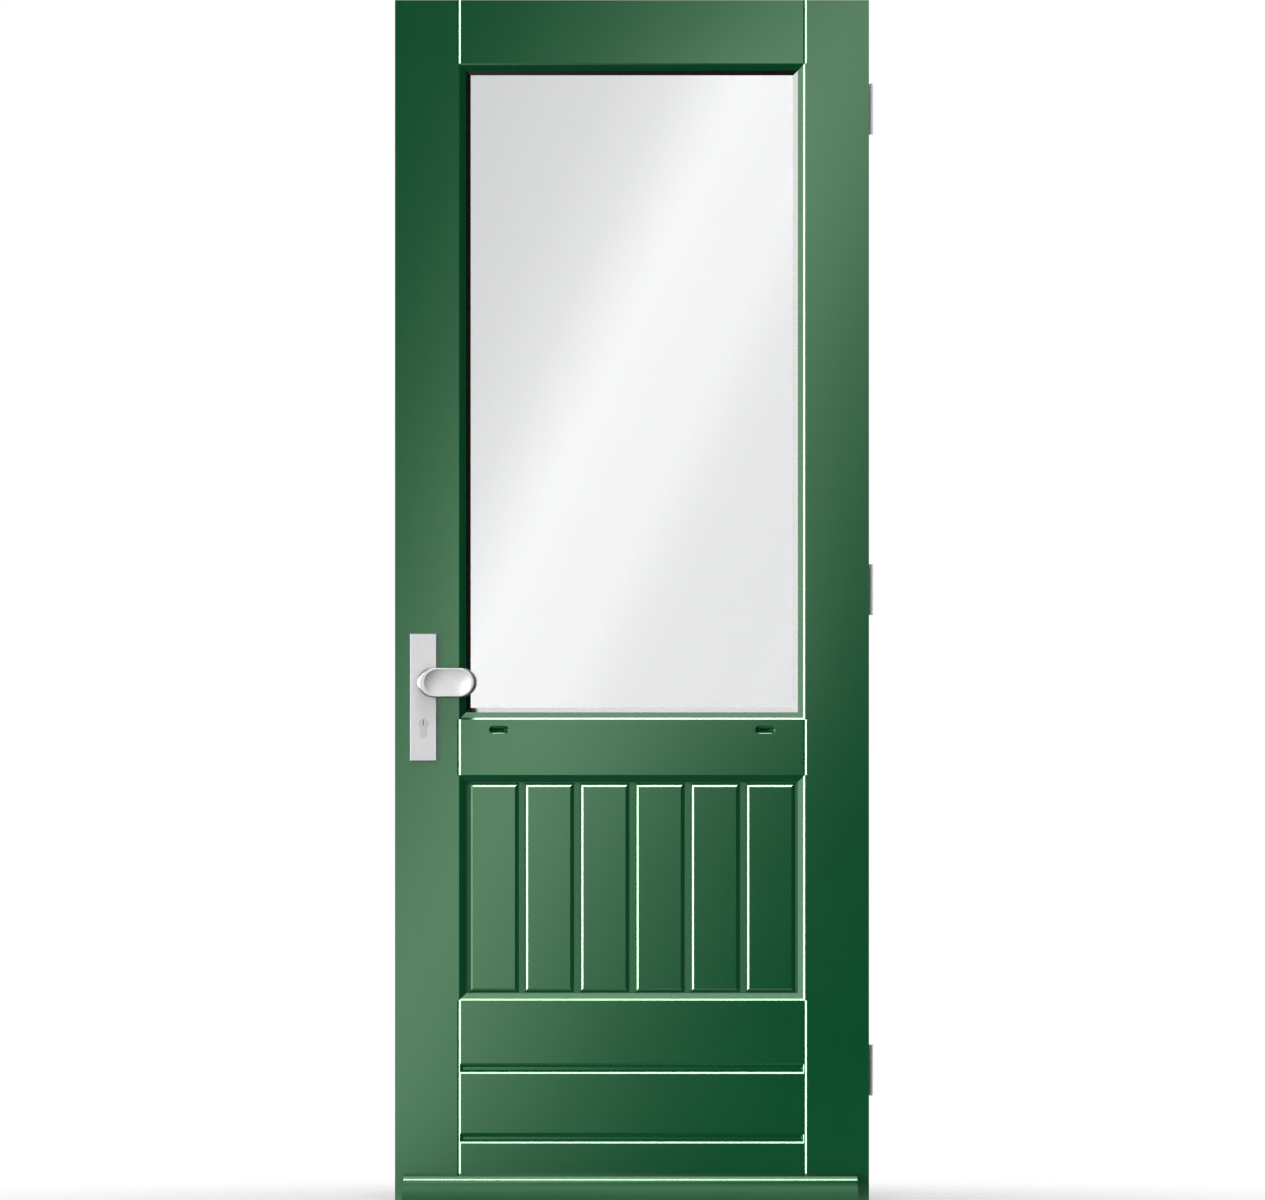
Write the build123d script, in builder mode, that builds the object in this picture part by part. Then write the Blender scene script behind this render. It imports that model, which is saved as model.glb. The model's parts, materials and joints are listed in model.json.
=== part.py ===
from build123d import *
import math
import os

# A glazed hardwood front door leaf with a boarded lower panel, hung on three lift-off hinges and shut by
# a mortise lock. Millimetres. +X is to the right seen from outside, +Y goes into the house, +Z is up, and
# the origin lies under the middle of the leaf. A depth is measured inwards from the outside face.

# Leaf
leaf_width = 830
leaf_height = 2115
leaf_thickness = 54
stile_width = 112
top_rail_height = 111
lock_rail_height = 97
lock_rail_bottom = 758
bottom_rail_heights = {"lower": 122, "middle": 122, "upper": 119}

# Bevelled and rebated edge round both openings, with a flat arris along every bevel
arris_width = 3
arris_depth = 1.1
bevel_width = 9.5
bevel_depth = 7
lip_depth = 12
rebate_cover = 17
bead_chamfer = 5

# Joints between stiles and rails
joint_clearance = 0.2
tenon_length = 26
tenon_thickness = 16
tenon_shoulder = 20
rail_groove_bevel = 4
rail_groove_floor = 4.5
rail_groove_depth = 6
rail_tongue_height = 10
rail_tongue_thickness = 12

# Glass unit and its seals
pane_thickness = 4
glass_cavity = 14
seal_thickness = 3
seal_show = 8
glass_clearance = 5
spacer_inset = 3
spacer_width = 7
setting_block_length = 80
setting_block_place_share = 0.25

# Panel boards
board_count = 6
board_floor = 9
board_clearance = 2.5
board_tongue_length = 8
board_tongue_thickness = 8
board_back_vee = 5
field_bevel = 4
field_rise = 5
field_margin = 1.5

# Vent slots in the lock rail
vent_length = 36
vent_height = 15
vent_inset = 70
vent_drop = 18
vent_mouth_depth = 8
vent_taper = 36
vent_depth = 24
vent_passage = 3
vent_riser_width = 18

# Weather bar
weather_bar_bottom = 14
weather_bar_height = 46
weather_bar_projection = 44
weather_bar_lock_inset = 16
weather_bar_hinge_inset = 21.5
weather_bar_end_flare = 3.5
weather_bar_fall = 4
weather_bar_nose_out = 5.2
weather_bar_nose_drop = 11
weather_bar_nose_slope = 41
weather_bar_undercut = 3
drip_groove_width = 6
drip_groove_depth = 5
drip_groove_setback = 14

# Hinges
hinge_names = ("bottom", "middle", "top")
hinge_bottom_margin = 240
hinge_top_margin = 190
hinge_height = 89
hinge_leaf_thickness = 3
hinge_leaf_width = 38
hinge_gap = 3
hinge_axis_offset = 7
barrel_radius = 6.5
knuckle_clearance = 0.6
hinge_running_gap = 0.3
hinge_pin_radius = 4
hinge_pin_clearance = 0.05
hinge_hole_radius = 2.5
hinge_hole_spacing = 64
hinge_hole_stagger = 14
hinge_hole_margin = 8

# Lock case, forend and bolts
backset = 50
handle_above_lock_rail = 65
cylinder_drop = 72
case_depth = 78
case_thickness = 16
case_wall = 1.5
case_above_handle = 42
case_below_cylinder = 42
pocket_clearance = 0.3
forend_height = 235
forend_width = 24
forend_thickness = 3
forend_centre_drop = 32
bolt_thickness = 11
bolt_clearance = 0.3
latch_height = 28
latch_throw = 12
latch_tip = 2.5
latch_rear = 18
latch_above_handle = 2
latch_tail_height = 8
latch_leg_gap = 0.5
deadbolt_height = 28
deadbolt_rise = 9
deadbolt_throw = 20
deadbolt_edge = 1
deadbolt_notch_width = 22
deadbolt_notch_depth = 9
deadbolt_tail_wall = 6

# Follower, spindle and lever
follower_radius = 9
follower_clearance = 0.08
follower_arm_width = 6
follower_arm_thickness = 10
follower_swing = 40
spindle_size = 8
spindle_clearance = 0.1
spindle_socket = 25
spindle_short = 0.5
spindle_hole_half = 10
lever_neck_radius = 8.5
lever_height = 22
lever_thickness = 11
lever_reach = 92
lever_projection = 50
lever_corner = 5
lever_edge = 2
lever_clearance = 0.08
lever_inset = 2

# Profile cylinder
cylinder_round_radius = 8.5
cylinder_leg_radius = 5
cylinder_height = 33
cylinder_proud = 0.5
cylinder_clearance = 0.2
cylinder_hole_clearance = 2
plug_radius = 6.25
plug_clearance = 0.05
keyway_width = 2.2
keyway_height = 8.5
keyway_rise = 1.2
keyway_depth = 25
cam_thickness = 9.4
cam_slot = 10
cam_ring_radius = 8
cam_nose_radius = 15.2
cam_nose_width = 9
cam_clearance = 0.4

# Back plates and knob
plate_width = 47
plate_height = 223
plate_thickness = 11
plate_edge = 1.5
plate_above_handle = 85
knob_length = 105
knob_height = 52
knob_end_radius = 24
knob_thickness = 17
knob_stand_off = 33
knob_shift = 41
knob_edge = 4
knob_dish_length = 82
knob_dish_height = 42
knob_dish_end_radius = 19
knob_dish_depth = 5
knob_base_length = 26
knob_base_height = 36
knob_base_corner = 9
knob_base_shift = 10
knob_neck_lean = 26

# How far a cutting shape runs past the face that it starts from
overrun = 1

# Places worked out from the sizes above
half_width = leaf_width / 2
half_thickness = leaf_thickness / 2
joint_x = half_width - stile_width
lip_width = arris_width + bevel_width
sight_x = joint_x - lip_width
bottom_rails_top = sum(bottom_rail_heights.values())
lock_rail_top = lock_rail_bottom + lock_rail_height
top_rail_bottom = leaf_height - top_rail_height
glass_opening = (lock_rail_top, top_rail_bottom)
panel_opening = (bottom_rails_top, lock_rail_bottom)
bottom_rail_spans = {}
level = 0
for name, height in bottom_rail_heights.items():
    bottom_rail_spans[name] = (level, level + height)
    level += height
rail_spans = [*bottom_rail_spans.values(), (lock_rail_bottom, lock_rail_top), (top_rail_bottom, leaf_height)]

# How far each rectangle round an opening lies outside its flat edges
sight_grow = -lip_width
rebate_grow = rebate_cover - lip_width
glass_grow = rebate_grow - glass_clearance
panel_grow = rebate_grow - board_clearance

unit_thickness = 2 * pane_thickness + glass_cavity
glass_depth = lip_depth + seal_thickness
inner_pane_depth = glass_depth + pane_thickness + glass_cavity
inner_seal_depth = glass_depth + unit_thickness
bead_depth = inner_seal_depth + seal_thickness

lock_x = backset - half_width
handle_height = lock_rail_top + handle_above_lock_rail
case_front = forend_thickness - half_width
cylinder_axis_height = handle_height - cylinder_drop
cylinder_leg_drop = cylinder_height - cylinder_round_radius - cylinder_leg_radius
cylinder_foot = cylinder_axis_height - cylinder_leg_drop - cylinder_leg_radius
plate_top = handle_height + plate_above_handle
plate_middle = plate_top - plate_height / 2
plate_face = half_thickness + plate_thickness

hinge_axis_x = half_width + hinge_gap / 2
hinge_axis_y = half_thickness + hinge_axis_offset
hinge_low = hinge_bottom_margin
hinge_high = leaf_height - hinge_top_margin
hinge_heights = dict(zip(hinge_names, (hinge_low, (hinge_low + hinge_high) / 2, hinge_high)))

os.makedirs("parts", exist_ok=True)


def depth_plane(depth):
    """Plane parallel to the leaf's faces, a depth below the outside one, its normal pointing outside."""
    return Plane.XZ.offset(half_thickness - depth)


def opening_corners(opening, grow):
    """Corners of the rectangle that lies a distance outside an opening's flat edges."""
    bottom, top = opening
    x = joint_x + grow
    return [(-x, bottom - grow), (x, bottom - grow), (x, top + grow), (-x, top + grow)]


def opening_rectangle(opening, grow, mode=Mode.ADD):
    """Add such a rectangle to the sketch in hand."""
    Polygon(*opening_corners(opening, grow), align=None, mode=mode)


def span_rectangle(left, right, bottom, top, mode=Mode.ADD):
    """Add a rectangle, given by its four sides, to the sketch in hand."""
    Polygon((left, bottom), (right, bottom), (right, top), (left, top), align=None, mode=mode)


def sloped_mouth(opening, bevel, depth):
    """A mouth in the outside face: a flat arris, then a bevel that ends at a depth."""
    first_inset = -overrun * arris_width / arris_depth
    levels = [(-overrun, first_inset), (arris_depth, arris_width), (depth, arris_width + bevel)]
    with BuildPart() as mouth:
        for step, next_step in zip(levels, levels[1:]):
            for level_depth, inset in (step, next_step):
                with BuildSketch(depth_plane(level_depth)):
                    opening_rectangle(opening, -inset)
            loft(ruled=True)
    return mouth.part


def opening_void(opening):
    """What an opening takes out of the leaf: the bevelled mouth, the sight hole and the inside rebate."""
    with BuildPart() as void:
        add(sloped_mouth(opening, bevel_width, bevel_depth))
        with BuildSketch(depth_plane(lip_depth)):
            opening_rectangle(opening, sight_grow)
        extrude(amount=lip_depth - bevel_depth)
        with BuildSketch(depth_plane(leaf_thickness + overrun)):
            opening_rectangle(opening, rebate_grow)
        extrude(amount=leaf_thickness + overrun - lip_depth)
    return void.part


def bead_mouth(opening):
    """The chamfer that the inside beads share round an opening."""
    with BuildPart() as mouth:
        with BuildSketch(depth_plane(leaf_thickness - bead_chamfer)):
            opening_rectangle(opening, sight_grow)
        with BuildSketch(depth_plane(leaf_thickness + overrun)):
            opening_rectangle(opening, sight_grow + bead_chamfer + overrun)
        loft(ruled=True)
    return mouth.part


def joint_vees():
    """Shallow vees along the lines where rails meet stiles, on both faces."""
    runs = [(-overrun, bottom_rails_top), (lock_rail_bottom, lock_rail_top)]
    runs.append((top_rail_bottom, leaf_height + overrun))
    mouth_half = arris_width * (1 + overrun / arris_depth)
    with BuildPart() as vees:
        for bottom, top in runs:
            with BuildSketch(Plane.XY.offset(bottom)):
                for x in (-joint_x, joint_x):
                    for face in (-1, 1):
                        mouth_y = face * (half_thickness + overrun)
                        tip_y = face * (half_thickness - arris_depth)
                        Polygon((x - mouth_half, mouth_y), (x + mouth_half, mouth_y), (x, tip_y), align=None)
            extrude(amount=top - bottom)
    return vees.part


def rail_groove(height):
    """Bevelled groove over the joint between two bottom rails, closed by a bevel at each stile."""
    half = arris_width + rail_groove_bevel + rail_groove_floor / 2
    return sloped_mouth((height - half, height + half), rail_groove_bevel, rail_groove_depth)


def oval(middle, length, height, end_radius):
    """Long oval with a flat arc above and below, and a tight arc at each end that meets them smoothly."""
    x, z = middle
    end_run = length / 2 - end_radius
    end_rise = height / 2 - end_radius
    flank_drop = (end_run**2 - end_rise**2) / (2 * end_rise)
    slant = math.hypot(end_run, flank_drop)
    touch_x = end_run + end_radius * end_run / slant
    touch_z = end_radius * flank_drop / slant
    with BuildLine() as outline:
        ThreePointArc((x - touch_x, z + touch_z), (x, z + height / 2), (x + touch_x, z + touch_z))
        ThreePointArc((x + touch_x, z + touch_z), (x + length / 2, z), (x + touch_x, z - touch_z))
        ThreePointArc((x + touch_x, z - touch_z), (x, z - height / 2), (x - touch_x, z - touch_z))
        ThreePointArc((x - touch_x, z - touch_z), (x - length / 2, z), (x - touch_x, z + touch_z))
    make_face(outline.edges())


def stile_outline(side):
    """Face outline of a stile, with its bevelled lips mitred at the openings' corners."""
    points = [(half_width, 0), (half_width, leaf_height), (joint_x, leaf_height)]
    for bottom, top in (glass_opening, panel_opening):
        points += [(joint_x, top), (sight_x, top - lip_width)]
        points += [(sight_x, bottom + lip_width), (joint_x, bottom)]
    points.append((joint_x, 0))
    return [(side * x, z) for x, z in points]


def rail_outline(span, lip_below, lip_above):
    """Face outline of a rail between the stiles, with a mitred lip wherever it borders an opening."""
    bottom, top = span
    points = [(-joint_x, bottom)]
    if lip_below:
        points += [(-sight_x, bottom - lip_width), (sight_x, bottom - lip_width)]
    points += [(joint_x, bottom), (joint_x, top)]
    if lip_above:
        points += [(sight_x, top + lip_width), (-sight_x, top + lip_width)]
    points.append((-joint_x, top))
    return points


def block(x_span, y_span, z_span, mode=Mode.ADD):
    """Add a block, given by its limits along each axis, to the part in hand."""
    spans = (x_span, y_span, z_span)
    with Locations(tuple((low + high) / 2 for low, high in spans)):
        Box(*(high - low for low, high in spans), mode=mode)


def cross_rod(radius, x, z, y_span, mode=Mode.ADD):
    """Add a round rod that runs through the door's thickness to the part in hand."""
    low, high = y_span
    with Locations((x, (low + high) / 2, z)):
        Cylinder(radius, high - low, rotation=(90, 0, 0), mode=mode)


def hinge_rod(radius, bottom, top, mode=Mode.ADD):
    """Add an upright cylinder on the hinge axis to the part in hand."""
    with Locations((hinge_axis_x, hinge_axis_y, (bottom + top) / 2)):
        Cylinder(radius, top - bottom, mode=mode)


def cylinder_profile(extra):
    """Add the lock cylinder's outline, grown by a clearance, to the sketch in hand."""
    foot = cylinder_axis_height - cylinder_leg_drop
    with Locations((lock_x, cylinder_axis_height)):
        Circle(cylinder_round_radius + extra)
    with Locations((lock_x, foot)):
        Circle(cylinder_leg_radius + extra)
    leg_half = cylinder_leg_radius + extra
    span_rectangle(lock_x - leg_half, lock_x + leg_half, foot, cylinder_axis_height)


def tenon_height(span):
    """Height of the tenon at each end of a rail."""
    return span[1] - span[0] - 2 * tenon_shoulder


def tenons(span):
    """Add a rail's two tenons to the part in hand."""
    with Locations(*[(x, 0, sum(span) / 2) for x in (-joint_x, joint_x)]):
        Box(2 * tenon_length, tenon_thickness, tenon_height(span))


def mortises(side):
    """Cut the mortises for every rail into the stile in hand."""
    for span in rail_spans:
        with Locations((side * joint_x, 0, sum(span) / 2)):
            Box(
                2 * (tenon_length + joint_clearance),
                tenon_thickness + 2 * joint_clearance,
                tenon_height(span) + 2 * joint_clearance,
                mode=Mode.SUBTRACT,
            )


glass_void = opening_void(glass_opening)
panel_void = opening_void(panel_opening)
vees = joint_vees()
grooves = [rail_groove(top) for bottom, top in bottom_rail_spans.values() if top < bottom_rails_top]

# Places of the lock's moving pieces
case_low = cylinder_axis_height - case_below_cylinder
case_high = handle_height + case_above_handle
case_back = case_front + case_depth
forend_middle = handle_height - forend_centre_drop
forend_span = (forend_middle - forend_height / 2, forend_middle + forend_height / 2)
follower_arm_length = latch_throw / (2 * math.sin(math.radians(follower_swing / 2)))
follower_tip_x = lock_x - latch_throw / 2
follower_tip_height = handle_height + follower_arm_length * math.cos(math.radians(follower_swing / 2))
latch_low = handle_height + latch_above_handle
latch_span = (latch_low, latch_low + latch_height)
latch_leg_x = follower_tip_x + follower_arm_width / 2 + bolt_clearance
deadbolt_low = cylinder_axis_height + deadbolt_rise
deadbolt_span = (deadbolt_low, deadbolt_low + deadbolt_height)
deadbolt_notch_x = lock_x + deadbolt_throw / 2
bolt_y = (-bolt_thickness / 2, bolt_thickness / 2)

# Pockets for the lock, its cylinder and the spindle
with BuildPart() as lock_pockets:
    pocket_half = case_thickness / 2 + pocket_clearance
    block(
        (-half_width, case_back + pocket_clearance),
        (-pocket_half, pocket_half),
        (case_low - pocket_clearance, case_high + pocket_clearance),
    )
    block(
        (-half_width - overrun, case_front),
        (-forend_width / 2 - pocket_clearance, forend_width / 2 + pocket_clearance),
        (forend_span[0] - pocket_clearance, forend_span[1] + pocket_clearance),
    )
    block(
        (lock_x - spindle_hole_half, lock_x + spindle_hole_half),
        (0, half_thickness + overrun),
        (handle_height - spindle_hole_half, handle_height + spindle_hole_half),
    )
    hole_half = cylinder_round_radius + cylinder_hole_clearance
    block(
        (lock_x - hole_half, lock_x + hole_half),
        (-half_thickness - overrun, half_thickness + overrun),
        (cylinder_foot - cylinder_hole_clearance, cylinder_axis_height + hole_half),
    )

# Recesses for the hinge leaves in the leaf's edge
with BuildPart() as hinge_recesses:
    for height in hinge_heights.values():
        block(
            (half_width - hinge_leaf_thickness, half_width + overrun),
            (hinge_axis_y - hinge_leaf_width, half_thickness + overrun),
            (height - hinge_height / 2, height + hinge_height / 2),
        )

# Stiles
with BuildPart() as lock_stile:
    with BuildSketch(depth_plane(leaf_thickness)):
        Polygon(*stile_outline(-1), align=None)
    extrude(amount=leaf_thickness)
    for cut in (glass_void, panel_void, vees, lock_pockets.part):
        add(cut, mode=Mode.SUBTRACT)
    mortises(-1)
lock_stile.part.label = "lock_stile"
export_step(lock_stile.part, "parts/lock_stile.step")

with BuildPart() as hinge_stile:
    with BuildSketch(depth_plane(leaf_thickness)):
        Polygon(*stile_outline(1), align=None)
    extrude(amount=leaf_thickness)
    for cut in (glass_void, panel_void, vees, hinge_recesses.part):
        add(cut, mode=Mode.SUBTRACT)
    mortises(1)
hinge_stile.part.label = "hinge_stile"
export_step(hinge_stile.part, "parts/hinge_stile.step")

# Top rail
with BuildPart() as top_rail:
    with BuildSketch(depth_plane(leaf_thickness)):
        Polygon(*rail_outline((top_rail_bottom, leaf_height), True, False), align=None)
    extrude(amount=leaf_thickness)
    for cut in (glass_void, vees):
        add(cut, mode=Mode.SUBTRACT)
    tenons((top_rail_bottom, leaf_height))
top_rail.part.label = "top_rail"
export_step(top_rail.part, "parts/top_rail.step")

# Lock rail, with two vent slots that rise into the glazing rebate
vent_x = joint_x - vent_inset
vent_level = lock_rail_top - vent_drop
vent_inner_y = vent_depth - half_thickness
with BuildPart() as lock_rail:
    with BuildSketch(depth_plane(leaf_thickness)):
        Polygon(*rail_outline((lock_rail_bottom, lock_rail_top), True, True), align=None)
    extrude(amount=leaf_thickness)
    for cut in (glass_void, panel_void, vees):
        add(cut, mode=Mode.SUBTRACT)
    tenons((lock_rail_bottom, lock_rail_top))
    with BuildSketch(depth_plane(0)):
        with Locations((-vent_x, vent_level), (vent_x, vent_level)):
            SlotOverall(vent_length, vent_height)
    extrude(amount=-vent_mouth_depth, taper=vent_taper, mode=Mode.SUBTRACT)
    for x in (-vent_x, vent_x):
        riser_x = (x - vent_riser_width / 2, x + vent_riser_width / 2)
        block(
            riser_x,
            (-half_thickness, vent_inner_y),
            (vent_level - vent_passage / 2, vent_level + vent_passage / 2),
            mode=Mode.SUBTRACT,
        )
        block(
            riser_x,
            (vent_inner_y - vent_passage, vent_inner_y),
            (vent_level, lock_rail_top - rebate_grow + overrun),
            mode=Mode.SUBTRACT,
        )
lock_rail.part.label = "lock_rail"
export_step(lock_rail.part, "parts/lock_rail.step")

# Three bottom rails, tongued into each other under bevelled grooves
for name, span in bottom_rail_spans.items():
    is_upper = span[1] == bottom_rails_top
    with BuildPart() as bottom_rail:
        with BuildSketch(depth_plane(leaf_thickness)):
            Polygon(*rail_outline(span, False, is_upper), align=None)
        extrude(amount=leaf_thickness)
        for cut in (panel_void, vees, *grooves):
            add(cut, mode=Mode.SUBTRACT)
        tenons(span)
        tongue_half = rail_tongue_thickness / 2
        if span[0] > 0:
            block(
                (-joint_x, joint_x),
                (-tongue_half, tongue_half),
                (span[0] - rail_tongue_height, span[0]),
            )
        if not is_upper:
            block(
                (-joint_x, joint_x),
                (-tongue_half - joint_clearance, tongue_half + joint_clearance),
                (span[1] - rail_tongue_height - joint_clearance, span[1]),
                mode=Mode.SUBTRACT,
            )
    bottom_rail.part.label = f"bottom_rail_{name}"
    export_step(bottom_rail.part, f"parts/bottom_rail_{name}.step")

# Six panel boards with raised fields, tongued side by side
panel_edge = joint_x + panel_grow
board_pitch = 2 * sight_x / board_count
board_z = (panel_opening[0] - panel_grow, panel_opening[1] + panel_grow)
field_z = (panel_opening[0] + lip_width + field_margin, panel_opening[1] - lip_width - field_margin)
field_steps = ((0, 0), (field_rise - arris_depth, field_bevel), (field_rise, field_bevel + arris_width))
tongue_y = (lip_depth + bead_depth) / 2 - half_thickness
tongue_half = board_tongue_thickness / 2
for index in range(board_count):
    base_left = -sight_x + board_floor / 2 + index * board_pitch
    base_right = base_left + board_pitch - board_floor
    is_first = index == 0
    is_last = index == board_count - 1
    left = -panel_edge if is_first else base_left
    right = panel_edge if is_last else base_left + board_pitch
    with BuildPart() as panel_board:
        with BuildSketch(depth_plane(bead_depth)):
            span_rectangle(left, right, *board_z)
        extrude(amount=bead_depth - lip_depth)
        for step, next_step in zip(field_steps, field_steps[1:]):
            for rise, inset in (step, next_step):
                with BuildSketch(depth_plane(lip_depth - rise)):
                    span_rectangle(
                        base_left + inset,
                        base_right - inset,
                        field_z[0] + inset,
                        field_z[1] - inset,
                    )
            loft(ruled=True)
        if not is_last:
            tongue_span = (tongue_y - tongue_half, tongue_y + tongue_half)
            block((right, right + board_tongue_length), tongue_span, board_z)
        if not is_first:
            block(
                (left, left + board_tongue_length + joint_clearance),
                (tongue_y - tongue_half - joint_clearance, tongue_y + tongue_half + joint_clearance),
                board_z,
                mode=Mode.SUBTRACT,
            )
        vee_side = board_back_vee / math.sqrt(2)
        back_joints = [x for x, inner in ((left, not is_first), (right, not is_last)) if inner]
        for x in back_joints:
            with Locations(Location((x, bead_depth - half_thickness, sum(board_z) / 2), (0, 0, 45))):
                Box(vee_side, vee_side, board_z[1] - board_z[0], mode=Mode.SUBTRACT)
    panel_board.part.label = f"panel_board_{index + 1}"
    export_step(panel_board.part, f"parts/panel_board_{index + 1}.step")

# Weather bar: a gently falling top, a large rounded nose, an undercut front and a drip groove
bar_top = weather_bar_bottom + weather_bar_height
bar_nose_y = -half_thickness - weather_bar_projection
bar_nose_height = bar_top - weather_bar_fall
with BuildPart() as weather_bar:
    with BuildSketch(Plane.YZ):
        with BuildLine():
            top_back = Vector(-half_thickness, bar_top)
            nose_top = Vector(bar_nose_y + weather_bar_nose_out, bar_nose_height)
            nose_front = Vector(bar_nose_y, bar_nose_height - weather_bar_nose_drop)
            foot_front = Vector(bar_nose_y + weather_bar_undercut, weather_bar_bottom)
            foot_back = Vector(-half_thickness, weather_bar_bottom)
            Line(foot_back, top_back)
            Line(top_back, nose_top)
            TangentArc(nose_top, nose_front, tangent=Vector(-1, 0).rotate(Axis.Z, weather_bar_nose_slope))
            TangentArc(nose_front, foot_front, tangent=(0, -1))
            Line(foot_front, foot_back)
        make_face()
    extrude(amount=half_width, both=True)
    with BuildSketch(depth_plane(0)):
        left_end = weather_bar_lock_inset - half_width
        right_end = half_width - weather_bar_hinge_inset
        Polygon(
            (left_end - weather_bar_end_flare, weather_bar_bottom),
            (right_end + weather_bar_end_flare, weather_bar_bottom),
            (right_end, bar_top),
            (left_end, bar_top),
            align=None,
        )
    extrude(amount=weather_bar_projection + overrun, mode=Mode.INTERSECT)
    drip_y = bar_nose_y + weather_bar_undercut + drip_groove_setback
    block(
        (-half_width, half_width),
        (drip_y, drip_y + drip_groove_width),
        (weather_bar_bottom, weather_bar_bottom + drip_groove_depth),
        mode=Mode.SUBTRACT,
    )
weather_bar.part.label = "weather_bar"
export_step(weather_bar.part, "parts/weather_bar.step")

# Glass unit: two panes held apart by a spacer
with BuildPart() as outer_pane:
    with BuildSketch(depth_plane(glass_depth + pane_thickness)):
        opening_rectangle(glass_opening, glass_grow)
    extrude(amount=pane_thickness)
outer_pane.part.label = "outer_pane"
export_step(outer_pane.part, "parts/outer_pane.step")

with BuildPart() as inner_pane:
    with BuildSketch(depth_plane(inner_seal_depth)):
        opening_rectangle(glass_opening, glass_grow)
    extrude(amount=pane_thickness)
inner_pane.part.label = "inner_pane"
export_step(inner_pane.part, "parts/inner_pane.step")

with BuildPart() as glass_spacer:
    with BuildSketch(depth_plane(inner_pane_depth)):
        opening_rectangle(glass_opening, glass_grow - spacer_inset)
        opening_rectangle(glass_opening, glass_grow - spacer_inset - spacer_width, mode=Mode.SUBTRACT)
    extrude(amount=glass_cavity)
glass_spacer.part.label = "glass_spacer"
export_step(glass_spacer.part, "parts/glass_spacer.step")

# Outer seal: a flat strip behind the lip with a wedge that slopes from the lip down to the glass
with BuildPart() as outer_seal:
    with BuildSketch(depth_plane(glass_depth)):
        opening_rectangle(glass_opening, glass_grow)
    extrude(amount=seal_thickness)
    with BuildSketch(depth_plane(glass_depth)):
        opening_rectangle(glass_opening, sight_grow - seal_show)
    with BuildSketch(depth_plane(lip_depth)):
        opening_rectangle(glass_opening, sight_grow)
    loft(ruled=True, mode=Mode.SUBTRACT)
outer_seal.part.label = "outer_seal"
export_step(outer_seal.part, "parts/outer_seal.step")

with BuildPart() as inner_seal:
    with BuildSketch(depth_plane(bead_depth)):
        opening_rectangle(glass_opening, glass_grow)
        opening_rectangle(glass_opening, sight_grow, mode=Mode.SUBTRACT)
    extrude(amount=seal_thickness)
inner_seal.part.label = "inner_seal"
export_step(inner_seal.part, "parts/inner_seal.step")

# Two blocks that carry the glass on the lock rail
with BuildPart() as setting_blocks:
    glass_width = 2 * (joint_x + glass_grow)
    for share in (-setting_block_place_share, setting_block_place_share):
        middle = share * glass_width
        block(
            (middle - setting_block_length / 2, middle + setting_block_length / 2),
            (glass_depth - half_thickness, inner_seal_depth - half_thickness),
            (lock_rail_top - rebate_grow, lock_rail_top - glass_grow),
        )
setting_blocks.part.label = "setting_blocks"
export_step(setting_blocks.part, "parts/setting_blocks.step")

# Inside beads, mitred round each opening
for kind, opening in (("glazing", glass_opening), ("panel", panel_opening)):
    outer = opening_corners(opening, rebate_grow)
    inner = opening_corners(opening, sight_grow)
    mouth = bead_mouth(opening)
    for side, name in enumerate(("bottom", "right", "top", "left")):
        after = (side + 1) % len(outer)
        with BuildPart() as bead:
            with BuildSketch(depth_plane(leaf_thickness)):
                Polygon(outer[side], outer[after], inner[after], inner[side], align=None)
            extrude(amount=leaf_thickness - bead_depth)
            add(mouth, mode=Mode.SUBTRACT)
        bead.part.label = f"{kind}_bead_{name}"
        export_step(bead.part, f"parts/{kind}_bead_{name}.step")

# Lift-off hinges: the frame leaf carries the lower knuckle, the door leaf the upper one
swept_radius = barrel_radius + knuckle_clearance
bore_radius = hinge_pin_radius + hinge_pin_clearance
hinge_plate_y = (hinge_axis_y - hinge_leaf_width, hinge_axis_y)
frame_face = half_width + hinge_gap
hole_x = frame_face + hinge_leaf_thickness / 2
hole_y = hinge_plate_y[0] + hinge_hole_margin
for name, height in hinge_heights.items():
    low = height - hinge_height / 2
    high = height + hinge_height / 2
    frame_top = height - hinge_running_gap / 2
    door_bottom = height + hinge_running_gap / 2

    with BuildPart() as hinge_door_leaf:
        block((half_width - hinge_leaf_thickness, half_width), hinge_plate_y, (low, high))
        hinge_rod(swept_radius, low, door_bottom, mode=Mode.SUBTRACT)
        hinge_rod(barrel_radius, door_bottom, high)
        hinge_rod(bore_radius, door_bottom, high, mode=Mode.SUBTRACT)
    hinge_door_leaf.part.label = f"hinge_{name}_door_leaf"
    export_step(hinge_door_leaf.part, f"parts/hinge_{name}_door_leaf.step")

    with BuildPart() as hinge_frame_leaf:
        block((frame_face, frame_face + hinge_leaf_thickness), hinge_plate_y, (low, high))
        hinge_rod(swept_radius, frame_top, high, mode=Mode.SUBTRACT)
        hinge_rod(barrel_radius, low, frame_top)
        hinge_rod(bore_radius, low, frame_top, mode=Mode.SUBTRACT)
        hole_rises = (-hinge_hole_spacing / 2, hinge_hole_spacing / 2)
        hole_places = [(hole_x, hole_y, height + rise) for rise in hole_rises]
        hole_places.append((hole_x, hole_y + hinge_hole_stagger, height))
        with Locations(*hole_places):
            Cylinder(hinge_hole_radius, hinge_leaf_thickness, rotation=(0, 90, 0), mode=Mode.SUBTRACT)
    hinge_frame_leaf.part.label = f"hinge_{name}_frame_leaf"
    export_step(hinge_frame_leaf.part, f"parts/hinge_{name}_frame_leaf.step")

with BuildPart() as hinge_pins:
    for height in hinge_heights.values():
        hinge_rod(hinge_pin_radius, height - hinge_height / 2, height + hinge_height / 2)
hinge_pins.part.label = "hinge_pins"
export_step(hinge_pins.part, "parts/hinge_pins.step")

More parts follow.
